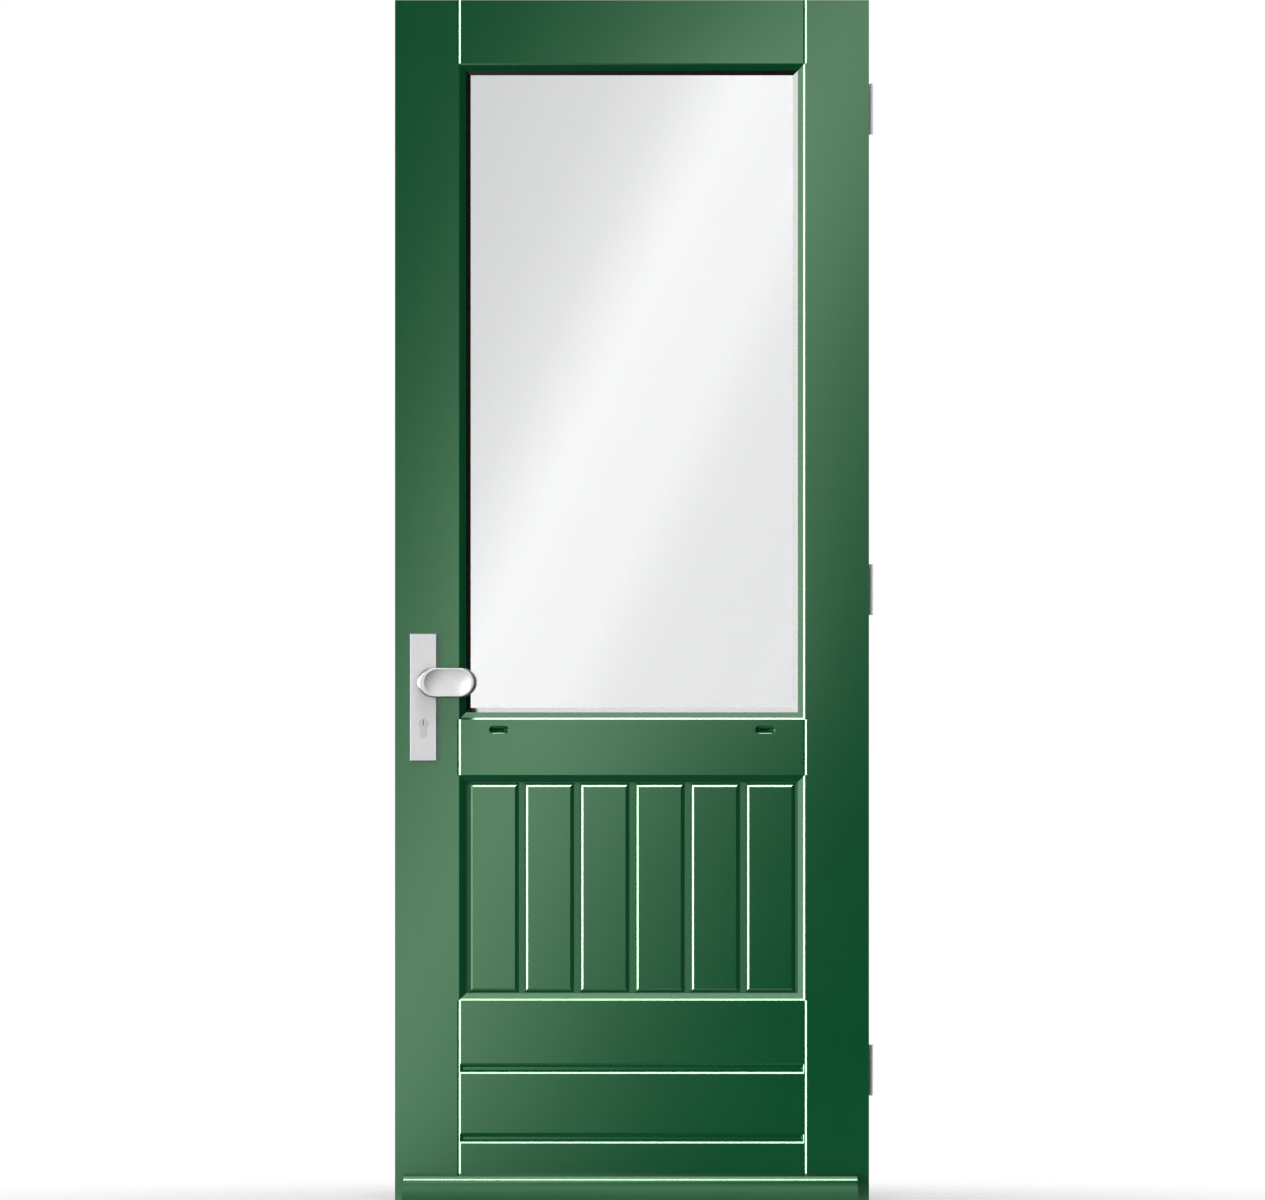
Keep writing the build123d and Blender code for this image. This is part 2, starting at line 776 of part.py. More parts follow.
# Lock case: a tray open to the forend and to the inside, closed by a cover
case_y = (-case_thickness / 2, case_thickness / 2 - case_wall)
window_half = cylinder_round_radius + cylinder_clearance
cylinder_window_x = (lock_x - window_half, lock_x + window_half)
cylinder_window_z = (cylinder_foot - cylinder_clearance, cylinder_axis_height + window_half)
with BuildPart() as lock_case:
    block((case_front, case_back), case_y, (case_low, case_high))
    block(
        (case_front, case_back - case_wall),
        (case_y[0] + case_wall, case_y[1]),
        (case_low + case_wall, case_high - case_wall),
        mode=Mode.SUBTRACT,
    )
    cross_rod(follower_radius + follower_clearance, lock_x, handle_height, case_y, mode=Mode.SUBTRACT)
    block(cylinder_window_x, case_y, cylinder_window_z, mode=Mode.SUBTRACT)
lock_case.part.label = "lock_case"
export_step(lock_case.part, "parts/lock_case.step")

with BuildPart() as lock_cover:
    cover_y = (case_y[1], case_y[1] + case_wall)
    block((case_front, case_back), cover_y, (case_low, case_high))
    cross_rod(follower_radius + follower_clearance, lock_x, handle_height, cover_y, mode=Mode.SUBTRACT)
    block(cylinder_window_x, cover_y, cylinder_window_z, mode=Mode.SUBTRACT)
lock_cover.part.label = "lock_cover"
export_step(lock_cover.part, "parts/lock_cover.step")

# Forend: the long plate in the leaf's edge that the bolts pass through
bolt_hole_y = (bolt_y[0] - bolt_clearance, bolt_y[1] + bolt_clearance)
with BuildPart() as lock_forend:
    block((-half_width, case_front), (-forend_width / 2, forend_width / 2), forend_span)
    for low, high in (latch_span, deadbolt_span):
        block(
            (-half_width, case_front),
            bolt_hole_y,
            (low - bolt_clearance, high + bolt_clearance),
            mode=Mode.SUBTRACT,
        )
lock_forend.part.label = "lock_forend"
export_step(lock_forend.part, "parts/lock_forend.step")

# Latch bolt, sloped towards the outside, with a tail that hooks over the follower's arm
with BuildPart() as latch_bolt:
    with BuildSketch(Plane.XY.offset(latch_low)):
        Polygon(
            (-half_width - latch_throw, bolt_y[1]),
            (-half_width - latch_throw, bolt_y[1] - latch_tip),
            (-half_width, bolt_y[0]),
            (latch_rear - half_width, bolt_y[0]),
            (latch_rear - half_width, bolt_y[1]),
            align=None,
        )
    extrude(amount=latch_height)
    leg_end = latch_leg_x + follower_arm_width
    tail_low = latch_span[1] - latch_tail_height
    block((latch_rear - half_width, leg_end), bolt_y, (tail_low, latch_span[1]))
    block((latch_leg_x, leg_end), bolt_y, (follower_tip_height + latch_leg_gap, tail_low))
latch_bolt.part.label = "latch_bolt"
export_step(latch_bolt.part, "parts/latch_bolt.step")

# Follower: a hub that turns in the case, with an arm that draws the latch back
with BuildPart() as follower:
    cross_rod(follower_radius, lock_x, handle_height, (-case_thickness / 2, case_thickness / 2))
    with BuildSketch(Plane.XZ.offset(-follower_arm_thickness / 2)):
        with Locations(((lock_x + follower_tip_x) / 2, (handle_height + follower_tip_height) / 2)):
            SlotCenterToCenter(follower_arm_length, follower_arm_width, rotation=90 + follower_swing / 2)
    extrude(amount=follower_arm_thickness)
    socket = spindle_size / 2 + spindle_clearance
    block(
        (lock_x - socket, lock_x + socket),
        (-case_thickness / 2, case_thickness / 2),
        (handle_height - socket, handle_height + socket),
        mode=Mode.SUBTRACT,
    )
follower.part.label = "follower"
export_step(follower.part, "parts/follower.step")

# Deadbolt, with a notch under its tail for the cylinder's cam
with BuildPart() as deadbolt:
    notch_half = deadbolt_notch_width / 2
    block(
        (-half_width, deadbolt_notch_x + notch_half + deadbolt_tail_wall),
        bolt_y,
        deadbolt_span,
    )
    chamfer(deadbolt.faces().sort_by(Axis.X)[0].edges(), deadbolt_edge)
    block(
        (deadbolt_notch_x - notch_half, deadbolt_notch_x + notch_half),
        bolt_y,
        (deadbolt_low, deadbolt_low + deadbolt_notch_depth),
        mode=Mode.SUBTRACT,
    )
deadbolt.part.label = "deadbolt"
export_step(deadbolt.part, "parts/deadbolt.step")

# Profile cylinder: a body bridged under the cam, two plugs and the cam between them
cylinder_end = plate_face + cylinder_proud
cam_slot_floor = cylinder_axis_height - cam_nose_radius - cam_clearance
with BuildPart() as cylinder_body:
    with BuildSketch(Plane.XZ.offset(-cylinder_end)):
        cylinder_profile(0)
    extrude(amount=2 * cylinder_end)
    cross_rod(
        plug_radius + plug_clearance,
        lock_x,
        cylinder_axis_height,
        (-cylinder_end, cylinder_end),
        mode=Mode.SUBTRACT,
    )
    block(
        (lock_x - cylinder_round_radius, lock_x + cylinder_round_radius),
        (-cam_slot / 2, cam_slot / 2),
        (cam_slot_floor, cylinder_axis_height + cylinder_round_radius),
        mode=Mode.SUBTRACT,
    )
cylinder_body.part.label = "cylinder_body"
export_step(cylinder_body.part, "parts/cylinder_body.step")

for name, side in (("outside", -1), ("inside", 1)):
    plug_y = sorted((side * cam_thickness / 2, side * cylinder_end))
    keyway_y = sorted((side * cylinder_end, side * (cylinder_end - keyway_depth)))
    keyway_middle = cylinder_axis_height + keyway_rise
    with BuildPart() as plug:
        cross_rod(plug_radius, lock_x, cylinder_axis_height, plug_y)
        block(
            (lock_x - keyway_width / 2, lock_x + keyway_width / 2),
            keyway_y,
            (keyway_middle - keyway_height / 2, keyway_middle + keyway_height / 2),
            mode=Mode.SUBTRACT,
        )
    plug.part.label = f"{name}_plug"
    export_step(plug.part, f"parts/{name}_plug.step")

with BuildPart() as cylinder_cam:
    with BuildSketch(Plane.XZ.offset(-cam_thickness / 2)):
        with Locations((lock_x, cylinder_axis_height)):
            Circle(cam_nose_radius)
        span_rectangle(
            lock_x - cam_nose_width / 2,
            lock_x + cam_nose_width / 2,
            cylinder_axis_height - cam_nose_radius,
            cylinder_axis_height,
            mode=Mode.INTERSECT,
        )
        with Locations((lock_x, cylinder_axis_height)):
            Circle(cam_ring_radius)
    extrude(amount=cam_thickness)
cylinder_cam.part.label = "cylinder_cam"
export_step(cylinder_cam.part, "parts/cylinder_cam.step")

# Spindle from the follower to the lever
with BuildPart() as spindle:
    half = spindle_size / 2
    block(
        (lock_x - half, lock_x + half),
        (spindle_short - case_thickness / 2, plate_face + spindle_socket - spindle_short),
        (handle_height - half, handle_height + half),
    )
spindle.part.label = "spindle"
export_step(spindle.part, "parts/spindle.step")

# Outside back plate
with BuildPart() as outside_plate:
    with BuildSketch(depth_plane(0)):
        with Locations((lock_x, plate_middle)):
            Rectangle(plate_width, plate_height)
    extrude(amount=plate_thickness)
    chamfer(outside_plate.faces().sort_by(Axis.Y)[0].edges(), plate_edge)
    with BuildSketch(depth_plane(overrun)):
        cylinder_profile(cylinder_clearance)
    extrude(amount=plate_thickness + 2 * overrun, mode=Mode.SUBTRACT)
outside_plate.part.label = "outside_plate"
export_step(outside_plate.part, "parts/outside_plate.step")

# Fixed knob: an oval head with a hollowed face, cranked off its base towards the middle of the leaf
knob_x = lock_x + knob_shift
knob_middle = (knob_x, handle_height)
knob_face_y = -plate_face - knob_stand_off - knob_thickness
dish_radius = ((knob_dish_length / 2) ** 2 + knob_dish_depth**2) / (2 * knob_dish_depth)
neck_run = Vector(knob_neck_lean, -knob_stand_off, 0)
with BuildPart() as knob_dish:
    with BuildSketch(Plane.XZ.offset(-knob_face_y - knob_thickness)):
        oval(knob_middle, knob_dish_length, knob_dish_height, knob_dish_end_radius)
    extrude(amount=knob_thickness)
    with Locations((knob_x, knob_face_y + knob_dish_depth - dish_radius, handle_height)):
        Cylinder(dish_radius, knob_height, mode=Mode.INTERSECT)

with BuildPart() as outside_knob:
    with BuildSketch(depth_plane(-plate_thickness - knob_stand_off)):
        oval(knob_middle, knob_length, knob_height, knob_end_radius)
    extrude(amount=knob_thickness)
    chamfer(outside_knob.faces().sort_by(Axis.Y)[0].edges(), knob_edge)
    add(knob_dish.part, mode=Mode.SUBTRACT)
    with BuildSketch(depth_plane(-plate_thickness)):
        with Locations((lock_x + knob_base_shift, handle_height)):
            neck_outline = Rectangle(knob_base_length, knob_base_height)
        chamfer(neck_outline.vertices(), knob_base_corner)
    extrude(amount=neck_run.length, dir=neck_run)
outside_knob.part.label = "outside_knob"
export_step(outside_knob.part, "parts/outside_knob.step")

# Inside back plate, with a round seat for the lever
with BuildPart() as inside_plate:
    with BuildSketch(depth_plane(leaf_thickness + plate_thickness)):
        with Locations((lock_x, plate_middle)):
            Rectangle(plate_width, plate_height)
    extrude(amount=plate_thickness)
    chamfer(inside_plate.faces().sort_by(Axis.Y)[-1].edges(), plate_edge)
    with BuildSketch(depth_plane(leaf_thickness + plate_thickness + overrun)):
        cylinder_profile(cylinder_clearance)
    extrude(amount=plate_thickness + 2 * overrun, mode=Mode.SUBTRACT)
    cross_rod(
        lever_neck_radius + lever_clearance,
        lock_x,
        handle_height,
        (half_thickness, plate_face),
        mode=Mode.SUBTRACT,
    )
inside_plate.part.label = "inside_plate"
export_step(inside_plate.part, "parts/inside_plate.step")

# Lever: a flat grip with chamfered edges on a round neck, with a square socket for the spindle
lever_y = (plate_face + lever_projection - lever_thickness, plate_face + lever_projection)
lever_neck_low = half_thickness + lever_inset
with BuildPart() as inside_lever:
    block(
        (lock_x - lever_height / 2, lock_x + lever_reach),
        lever_y,
        (handle_height - lever_height / 2, handle_height + lever_height / 2),
    )
    chamfer(inside_lever.edges().filter_by(Axis.Y), lever_corner)
    chamfer(inside_lever.faces().sort_by(Axis.Y)[0].edges(), lever_edge)
    chamfer(inside_lever.faces().sort_by(Axis.Y)[-1].edges(), lever_edge)
    cross_rod(lever_neck_radius, lock_x, handle_height, (lever_neck_low, lever_y[1] - lever_edge))
    socket = spindle_size / 2 + spindle_clearance
    block(
        (lock_x - socket, lock_x + socket),
        (lever_neck_low, plate_face + spindle_socket),
        (handle_height - socket, handle_height + socket),
        mode=Mode.SUBTRACT,
    )
inside_lever.part.label = "inside_lever"
export_step(inside_lever.part, "parts/inside_lever.step")
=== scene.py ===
import json
import math

import bpy
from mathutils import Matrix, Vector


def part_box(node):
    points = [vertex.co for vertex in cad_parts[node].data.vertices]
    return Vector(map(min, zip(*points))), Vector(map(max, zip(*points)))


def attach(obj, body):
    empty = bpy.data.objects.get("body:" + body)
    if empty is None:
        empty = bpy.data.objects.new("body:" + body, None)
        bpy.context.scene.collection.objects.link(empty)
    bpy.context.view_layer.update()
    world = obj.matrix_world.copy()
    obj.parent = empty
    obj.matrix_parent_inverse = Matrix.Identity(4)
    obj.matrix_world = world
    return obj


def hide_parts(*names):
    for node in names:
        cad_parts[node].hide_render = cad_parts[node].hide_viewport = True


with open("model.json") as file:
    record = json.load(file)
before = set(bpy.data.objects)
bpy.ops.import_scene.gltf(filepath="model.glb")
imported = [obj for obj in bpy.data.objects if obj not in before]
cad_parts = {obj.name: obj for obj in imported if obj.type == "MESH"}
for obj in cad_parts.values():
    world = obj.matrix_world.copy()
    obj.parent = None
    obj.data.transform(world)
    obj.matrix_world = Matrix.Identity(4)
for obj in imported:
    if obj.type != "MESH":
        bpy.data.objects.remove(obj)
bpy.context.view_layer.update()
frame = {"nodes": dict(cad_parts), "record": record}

nodes = frame["nodes"]
mm = 0.001

# Sizes and places of the added fasteners
screw_head_radius = 4.3 * mm
screw_head_depth = 1.6 * mm
screw_rim_share = 0.18
screw_proud = 0.35 * mm
screw_sides = 28
screw_smooth_angle = 35
recess_arms = 2
recess_reach = 2.4 * mm
recess_width = 0.9 * mm
recess_depth = 1.0 * mm
hinge_screw_spacing = 64 * mm
hinge_screw_stagger = 14 * mm
hinge_screw_margin = 8 * mm
forend_screw_margin = 11 * mm
cylinder_screw_rise = 4.6 * mm
plate_bolt_margin = 16 * mm
plate_bolt_radius = 5 * mm

# Sizes of the outside knob
knob_thickness = 17 * mm
knob_flat_length = 48 * mm
knob_back_radius = 3 * mm
knob_edge = 0.3 * mm
knob_edge_angle = 32
knob_smooth_angle = 14
rim_depth = 5 * mm
rim_lean_ends = 7 * mm
rim_lean_sides = 2.2 * mm
rim_steps = 10
dish_length = 82 * mm
dish_height = 47 * mm
dish_flat_length = 32 * mm
dish_shift = 1.5 * mm
dish_depth = 5 * mm
scoop_reach = 30 * mm
scoop_margins = (1.13, 1.7)
scoop_sides = 128
neck_length = 26 * mm
neck_height = 36 * mm
neck_shift = 10 * mm
neck_lean = 26 * mm

# Sizes and places of the rims in the two vents
vent_inset = 182 * mm
vent_drop = 30.5 * mm
vent_length = 36 * mm
vent_height = 15 * mm
vent_rim_radius = 3.5 * mm
vent_rim_sides = 50
vent_rim_steps = 24

# Steps of small rounded edges, sides of an oval, and how near a picked vertex has to be
edge_steps = 2
oval_sides = 96
pick_reach = 0.01 * mm
oval_middle_reach = 0.1 * mm

# Camera, placed far off so that the view is nearly parallel
camera_distance = 30
camera_height = 1.0643
camera_sideways = 0.0009
camera_clip_end = 200
picture_width = 2.2151
sensor_width = 36

# Paint: brush marks per metre, and dull spans by axis, ends and added roughness
brush_marks_across = 260
brush_marks_along = 9
dull_vents = ("Y", (-19.5 * mm, 5 * mm), 0.5)
dull_grooves = ("Y", (-18.6 * mm, -15 * mm), 0.5)
dull_first_edge = ("X", (-310 * mm, -278.8 * mm), 0.26)
dull_blend = 0.3 * mm

# Metal: the darker shade of its grain, the swing of its roughness and the depth of its grain
metal_grain_shade = 0.94
metal_roughness_swing = 0.04
metal_grain_depth = 0.05 * mm

# Blends of two shades: where they start and end on the noise that drives them
blend_start = 0.3
blend_end = 0.7

# Stage: the floor, how dim the room is in front of the door, and how soon it is white behind it
floor_drop = 4 * mm
floor_size = 12
floor_fade = (0.5, 1.7)
dim_world = 0.03
room_fade_end = 0.4

# Lamps by radiance, degrees to the left, degrees upwards, distance, width and height
lamps = {
    "left_arris_lamp": (26, 40, 0, 25, 3.6, 5.6),
    "upper_arris_lamp": (26, 0, 42, 25, 3.6, 5.6),
    "nose_lamp": (9, 0, 53, 25, 3.6, 4),
    "left_bevel_lamp": (2.6, 76, 0, 9, 6, 4.6),
    "upper_bevel_lamp": (2.6, 0, 76, 9, 3, 6),
    "side_lamp": (6, 47, 0, 12, 2.6, 5),
    "key_lamp": (9, 24, 8, 12, 2.4, 3),
}

# Cards that show only in reflections, with the levels of their bands of light by place across them
card_slant = 25
card_middle = (0.347, 1.94)
door_card_distance = 2.5
door_card_box = ((-1.4, 1.4), (-0.06, 2.5))
door_card_levels = (
    (-0.85, 0), (-0.6, 0.06), (-0.3, 0.39), (0, 1), (0.15, 0.58), (0.3, 0.29), (0.45, 0.1), (0.62, 0),
)
door_card_strength = 2.5
glass_card_distance = door_card_distance - 10 * mm
glass_card_box = ((-0.31, 0.31), (0.86, 2.07))
glass_card_levels = ((-0.4, 0.05), (-0.3, 0.3), (-0.17, 1), (-0.04, 0.2), (0.1, 0), (0.36, 0.8))
glass_card_strength = 1.3
sill_card_slant = 90
sill_card_middle = (0, 0)
sill_card_distance = 0.6
sill_card_box = ((-0.8, 0.8), (-0.3, -0.008))
sill_card_levels = ((-0.02, 1), (0.04, 1), (0.12, 0.5), (0.3, 0.1))
sill_card_strength = 1.4
band_reach = 1
fewer_than_one = 0.5


# Materials
def start_material(name, colour, roughness, metallic=0.0):
    """A material with its own shader, and the coordinates of the piece it is on."""
    material = bpy.data.materials.new(name)
    material.use_nodes = True
    tree = material.node_tree
    shader = tree.nodes["Principled BSDF"]
    shader.inputs["Base Color"].default_value = (*colour, 1)
    shader.inputs["Roughness"].default_value = roughness
    shader.inputs["Metallic"].default_value = metallic
    place = tree.nodes.new("ShaderNodeTexCoord").outputs["Object"]
    return material, tree, shader, place


def stretched(tree, place, scale):
    """The place, scaled along each axis."""
    mapping = tree.nodes.new("ShaderNodeMapping")
    mapping.inputs["Scale"].default_value = scale
    tree.links.new(place, mapping.inputs["Vector"])
    return mapping.outputs["Vector"]


def noise(tree, place, scale=1.0, detail=3.0):
    """Soft noise at a scale."""
    texture = tree.nodes.new("ShaderNodeTexNoise")
    texture.inputs["Scale"].default_value = scale
    texture.inputs["Detail"].default_value = detail
    tree.links.new(place, texture.inputs["Vector"])
    return texture.outputs["Fac"]


def vary_colour(tree, shader, factor, first, second):
    """Colour that wanders between two shades."""
    ramp = tree.nodes.new("ShaderNodeValToRGB")
    start, end = ramp.color_ramp.elements
    start.position = blend_start
    start.color = (*first, 1)
    end.position = blend_end
    end.color = (*second, 1)
    tree.links.new(factor, ramp.inputs["Fac"])
    tree.links.new(ramp.outputs["Color"], shader.inputs["Base Color"])


def vary_roughness(tree, shader, factor, low, high):
    """Roughness that wanders between two values."""
    spread = tree.nodes.new("ShaderNodeMapRange")
    spread.inputs["To Min"].default_value = low
    spread.inputs["To Max"].default_value = high
    tree.links.new(factor, spread.inputs["Value"])
    tree.links.new(spread.outputs["Result"], shader.inputs["Roughness"])


def dull_between(tree, shader, place, axis, ends, rise):
    """Roughness raised between two ends along one axis."""
    split = tree.nodes.new("ShaderNodeSeparateXYZ")
    tree.links.new(place, split.inputs["Vector"])
    raised = shader.inputs["Roughness"].links[0].from_socket
    for end, change in zip(ends, (rise, -rise)):
        step = tree.nodes.new("ShaderNodeMapRange")
        step.inputs["From Min"].default_value = end - dull_blend
        step.inputs["From Max"].default_value = end + dull_blend
        step.inputs["To Max"].default_value = change
        tree.links.new(split.outputs[axis], step.inputs["Value"])
        total = tree.nodes.new("ShaderNodeMath")
        tree.links.new(raised, total.inputs[0])
        tree.links.new(step.outputs["Result"], total.inputs[1])
        raised = total.outputs["Value"]
    tree.links.new(raised, shader.inputs["Roughness"])


def raise_surface(tree, shader, height, strength, distance):
    """Fine relief from a height."""
    bump = tree.nodes.new("ShaderNodeBump")
    bump.inputs["Strength"].default_value = strength
    bump.inputs["Distance"].default_value = distance
    tree.links.new(height, bump.inputs["Height"])
    tree.links.new(bump.outputs["Normal"], shader.inputs["Normal"])


def green_paint(name, along, dull_spans=()):
    """Gloss paint over hardwood, its brush marks along one axis, duller over some spans."""
    material, tree, shader, place = start_material(
        name, colour=(0.002, 0.076, 0.025), roughness=0.15
    )
    marks = [brush_marks_across] * 3
    marks["xyz".index(along)] = brush_marks_along
    grain = noise(tree, stretched(tree, place, marks))
    cloud = noise(tree, place, scale=5.0)
    vary_colour(tree, shader, cloud, first=(0.0015, 0.072, 0.0235), second=(0.0025, 0.08, 0.0265))
    vary_roughness(tree, shader, grain, low=0.13, high=0.18)
    for axis, ends, rise in dull_spans:
        dull_between(tree, shader, place, axis, ends, rise)
    raise_surface(tree, shader, grain, strength=0.006, distance=0.15 * mm)
    shader.inputs["Specular IOR Level"].default_value = 1.0
    shader.inputs["Specular Tint"].default_value = (0.63, 1.0, 0.66, 1)
    return material


def clear_glass():
    """Float glass with a faint grey tint and barely wavy faces."""
    material, tree, shader, place = start_material(
        "clear_glass", colour=(0.80, 0.805, 0.805), roughness=0.0
    )
    shader.inputs["Transmission Weight"].default_value = 1.0
    shader.inputs["IOR"].default_value = 1.5
    waves = noise(tree, place, scale=3.0, detail=0.0)
    raise_surface(tree, shader, waves, strength=0.01, distance=0.2 * mm)
    return material


def black_rubber():
    """Smooth black seal."""
    material, tree, shader, place = start_material(
        "black_rubber", colour=(0.012, 0.012, 0.011), roughness=0.13
    )
    dust = noise(tree, place, scale=120.0)
    vary_colour(tree, shader, dust, first=(0.010, 0.010, 0.009), second=(0.015, 0.015, 0.014))
    vary_roughness(tree, shader, dust, low=0.11, high=0.15)
    shader.inputs["Specular IOR Level"].default_value = 0.38
    return material


def metal(name, colour, roughness, grain_scale, relief):
    """Metal with a fine grain."""
    material, tree, shader, place = start_material(name, colour, roughness, metallic=1.0)
    grain = noise(tree, stretched(tree, place, grain_scale))
    darker = tuple(channel * metal_grain_shade for channel in colour)
    vary_colour(tree, shader, grain, darker, colour)
    vary_roughness(
        tree, shader, grain, roughness - metal_roughness_swing, roughness + metal_roughness_swing
    )
    raise_surface(tree, shader, grain, relief, metal_grain_depth)
    return material


def dark_plastic():
    """Matte packing plastic."""
    material, tree, shader, place = start_material(
        "dark_plastic", colour=(0.05, 0.05, 0.06), roughness=0.6
    )
    grain = noise(tree, place, scale=400.0)
    raise_surface(tree, shader, grain, strength=0.15, distance=0.1 * mm)
    return material


def pale_floor():
    """Plain pale floor that fades out round the door."""
    material, tree, shader, place = start_material(
        "pale_floor", colour=(0.9, 0.9, 0.9), roughness=0.7
    )
    cloud = noise(tree, place, scale=2.0)
    vary_colour(tree, shader, cloud, first=(0.89, 0.89, 0.89), second=(0.92, 0.92, 0.92))
    reach = tree.nodes.new("ShaderNodeVectorMath")
    reach.operation = "LENGTH"
    tree.links.new(place, reach.inputs[0])
    fade = tree.nodes.new("ShaderNodeMapRange")
    fade.interpolation_type = "SMOOTHSTEP"
    fade.inputs["From Min"].default_value = floor_fade[0]
    fade.inputs["From Max"].default_value = floor_fade[1]
    fade.inputs["To Min"].default_value = 1.0
    fade.inputs["To Max"].default_value = 0.0
    tree.links.new(reach.outputs["Value"], fade.inputs["Value"])
    tree.links.new(fade.outputs["Result"], shader.inputs["Alpha"])
    return material


def slanting_bands(tree, place, middle, slant, levels):
    """Bands of given levels on either side of a middle, slanting across a card."""
    turn = tree.nodes.new("ShaderNodeMapping")
    turn.vector_type = "TEXTURE"
    turn.inputs["Location"].default_value = (middle[0], 0, middle[1])
    turn.inputs["Rotation"].default_value = (0, math.radians(slant), 0)
    tree.links.new(place, turn.inputs["Vector"])
    split = tree.nodes.new("ShaderNodeSeparateXYZ")
    tree.links.new(turn.outputs["Vector"], split.inputs["Vector"])
    spread = tree.nodes.new("ShaderNodeMapRange")
    spread.inputs["From Min"].default_value = -band_reach
    spread.inputs["From Max"].default_value = band_reach
    tree.links.new(split.outputs["X"], spread.inputs["Value"])
    ramp = tree.nodes.new("ShaderNodeValToRGB")
    elements = ramp.color_ramp.elements
    for index, (across, level) in enumerate(levels):
        position = (across / band_reach + 1) / 2
        element = elements[index] if index < 2 else elements.new(position)
        element.position = position
        element.color = (level, level, level, 1)
    tree.links.new(spread.outputs["Result"], ramp.inputs["Fac"])
    return ramp.outputs["Color"]


def hidden_through_glass(tree, strength):
    """A strength that drops to nothing where light has come straight through glass."""
    path = tree.nodes.new("ShaderNodeLightPath")
    never_mirrored = tree.nodes.new("ShaderNodeMath")
    never_mirrored.operation = "LESS_THAN"
    never_mirrored.inputs[1].default_value = fewer_than_one
    tree.links.new(path.outputs["Glossy Depth"], never_mirrored.inputs[0])
    through_glass = tree.nodes.new("ShaderNodeMath")
    through_glass.operation = "MULTIPLY"
    tree.links.new(never_mirrored.outputs["Value"], through_glass.inputs[0])
    tree.links.new(path.outputs["Is Transmission Ray"], through_glass.inputs[1])
    brightness = tree.nodes.new("ShaderNodeMapRange")
    brightness.inputs["To Min"].default_value = strength
    brightness.inputs["To Max"].default_value = 0.0
    tree.links.new(through_glass.outputs["Value"], brightness.inputs["Value"])
    return brightness.outputs["Result"]


def slanting_glow(name, middle, slant, levels, strength):
    """Light in slanting bands on a card that is otherwise clear."""
    material, tree, shader, place = start_material(name, colour=(0, 0, 0), roughness=1.0)
    tree.nodes.remove(shader)
    glow = tree.nodes.new("ShaderNodeEmission")
    tree.links.new(slanting_bands(tree, place, middle, slant, levels), glow.inputs["Color"])
    tree.links.new(hidden_through_glass(tree, strength), glow.inputs["Strength"])
    clear = tree.nodes.new("ShaderNodeBsdfTransparent")
    both = tree.nodes.new("ShaderNodeAddShader")
    tree.links.new(glow.outputs["Emission"], both.inputs[0])
    tree.links.new(clear.outputs["BSDF"], both.inputs[1])
    tree.links.new(both.outputs["Shader"], tree.nodes["Material Output"].inputs["Surface"])
    return material


# Finish of every solid
upright_paint = green_paint("upright_paint", "z")
level_paint = green_paint("level_paint", "x")
vented_paint = green_paint("vented_paint", "x", [dull_vents])
board_paint = green_paint("board_paint", "z", [dull_grooves])
first_board_paint = green_paint("first_board_paint", "z", [dull_grooves, dull_first_edge])
satin_aluminium = metal("satin_aluminium", (0.61, 0.61, 0.615), 0.48, (180, 180, 30), 0.04)
mill_aluminium = metal("mill_aluminium", (0.62, 0.63, 0.64), 0.3, (20, 300, 300), 0.05)
polished_aluminium = metal("polished_aluminium", (0.58, 0.58, 0.585), 0.36, (60, 200, 200), 0.03)
brushed_steel = metal("brushed_steel", (0.8, 0.8, 0.81), 0.5, (300, 300, 12), 0.08)
zinc_steel = metal("zinc_steel", (0.5, 0.5, 0.51), 0.38, (90, 90, 90), 0.05)
nickel = metal("nickel", (0.45, 0.45, 0.445), 0.33, (260, 40, 260), 0.04)

slot_finish = {
    "glass": clear_glass(),
    "seal": black_rubber(),
    "spacer": mill_aluminium,
    "block": dark_plastic(),
    "hinge": brushed_steel,
    "furniture": satin_aluminium,
    "lock": zinc_steel,
    "cylinder": nickel,
}
level_words = ("rail", "weather_bar", "bead_top", "bead_bottom")


def finish_of(node, slot):
    """The finish of a solid; painted wood has its brush marks along the piece."""
    if slot != "paint":
        return slot_finish[slot]
    if node == "lock_rail":
        return vented_paint
    if "board" in node:
        return first_board_paint if node == "panel_board_1" else board_paint
    return level_paint if any(word in node for word in level_words) else upright_paint


for entry in frame["record"]["subparts"]:
    solid = nodes[entry["node"]]
    solid.data.materials.clear()
    solid.data.materials.append(finish_of(entry["node"], entry["material_slot"]))


# Fasteners
def settle(piece, name, material, body):
    """Put a finished piece's place into its mesh, and give it its finish and its carrier."""
    bpy.ops.object.select_all(action="DESELECT")
    piece.select_set(True)
    bpy.context.view_layer.objects.active = piece
    bpy.ops.object.transform_apply(location=True, rotation=True, scale=True)
    piece.name = name
    piece.data.materials.clear()
    piece.data.materials.append(material)
    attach(piece, body)


def apply_modifier(piece, kind, **settings):
    """Add a modifier with its settings, and apply it."""
    bpy.ops.object.select_all(action="DESELECT")
    piece.select_set(True)
    bpy.context.view_layer.objects.active = piece
    modifier = piece.modifiers.new(kind.lower(), kind)
    for key, value in settings.items():
        setattr(modifier, key, value)
    bpy.ops.object.modifier_apply(modifier=modifier.name)


def combine(piece, other, operation):
    """Join, cut or intersect a piece with another one, which is used up."""
    apply_modifier(piece, "BOOLEAN", operation=operation, object=other, solver="EXACT")
    bpy.data.objects.remove(other)


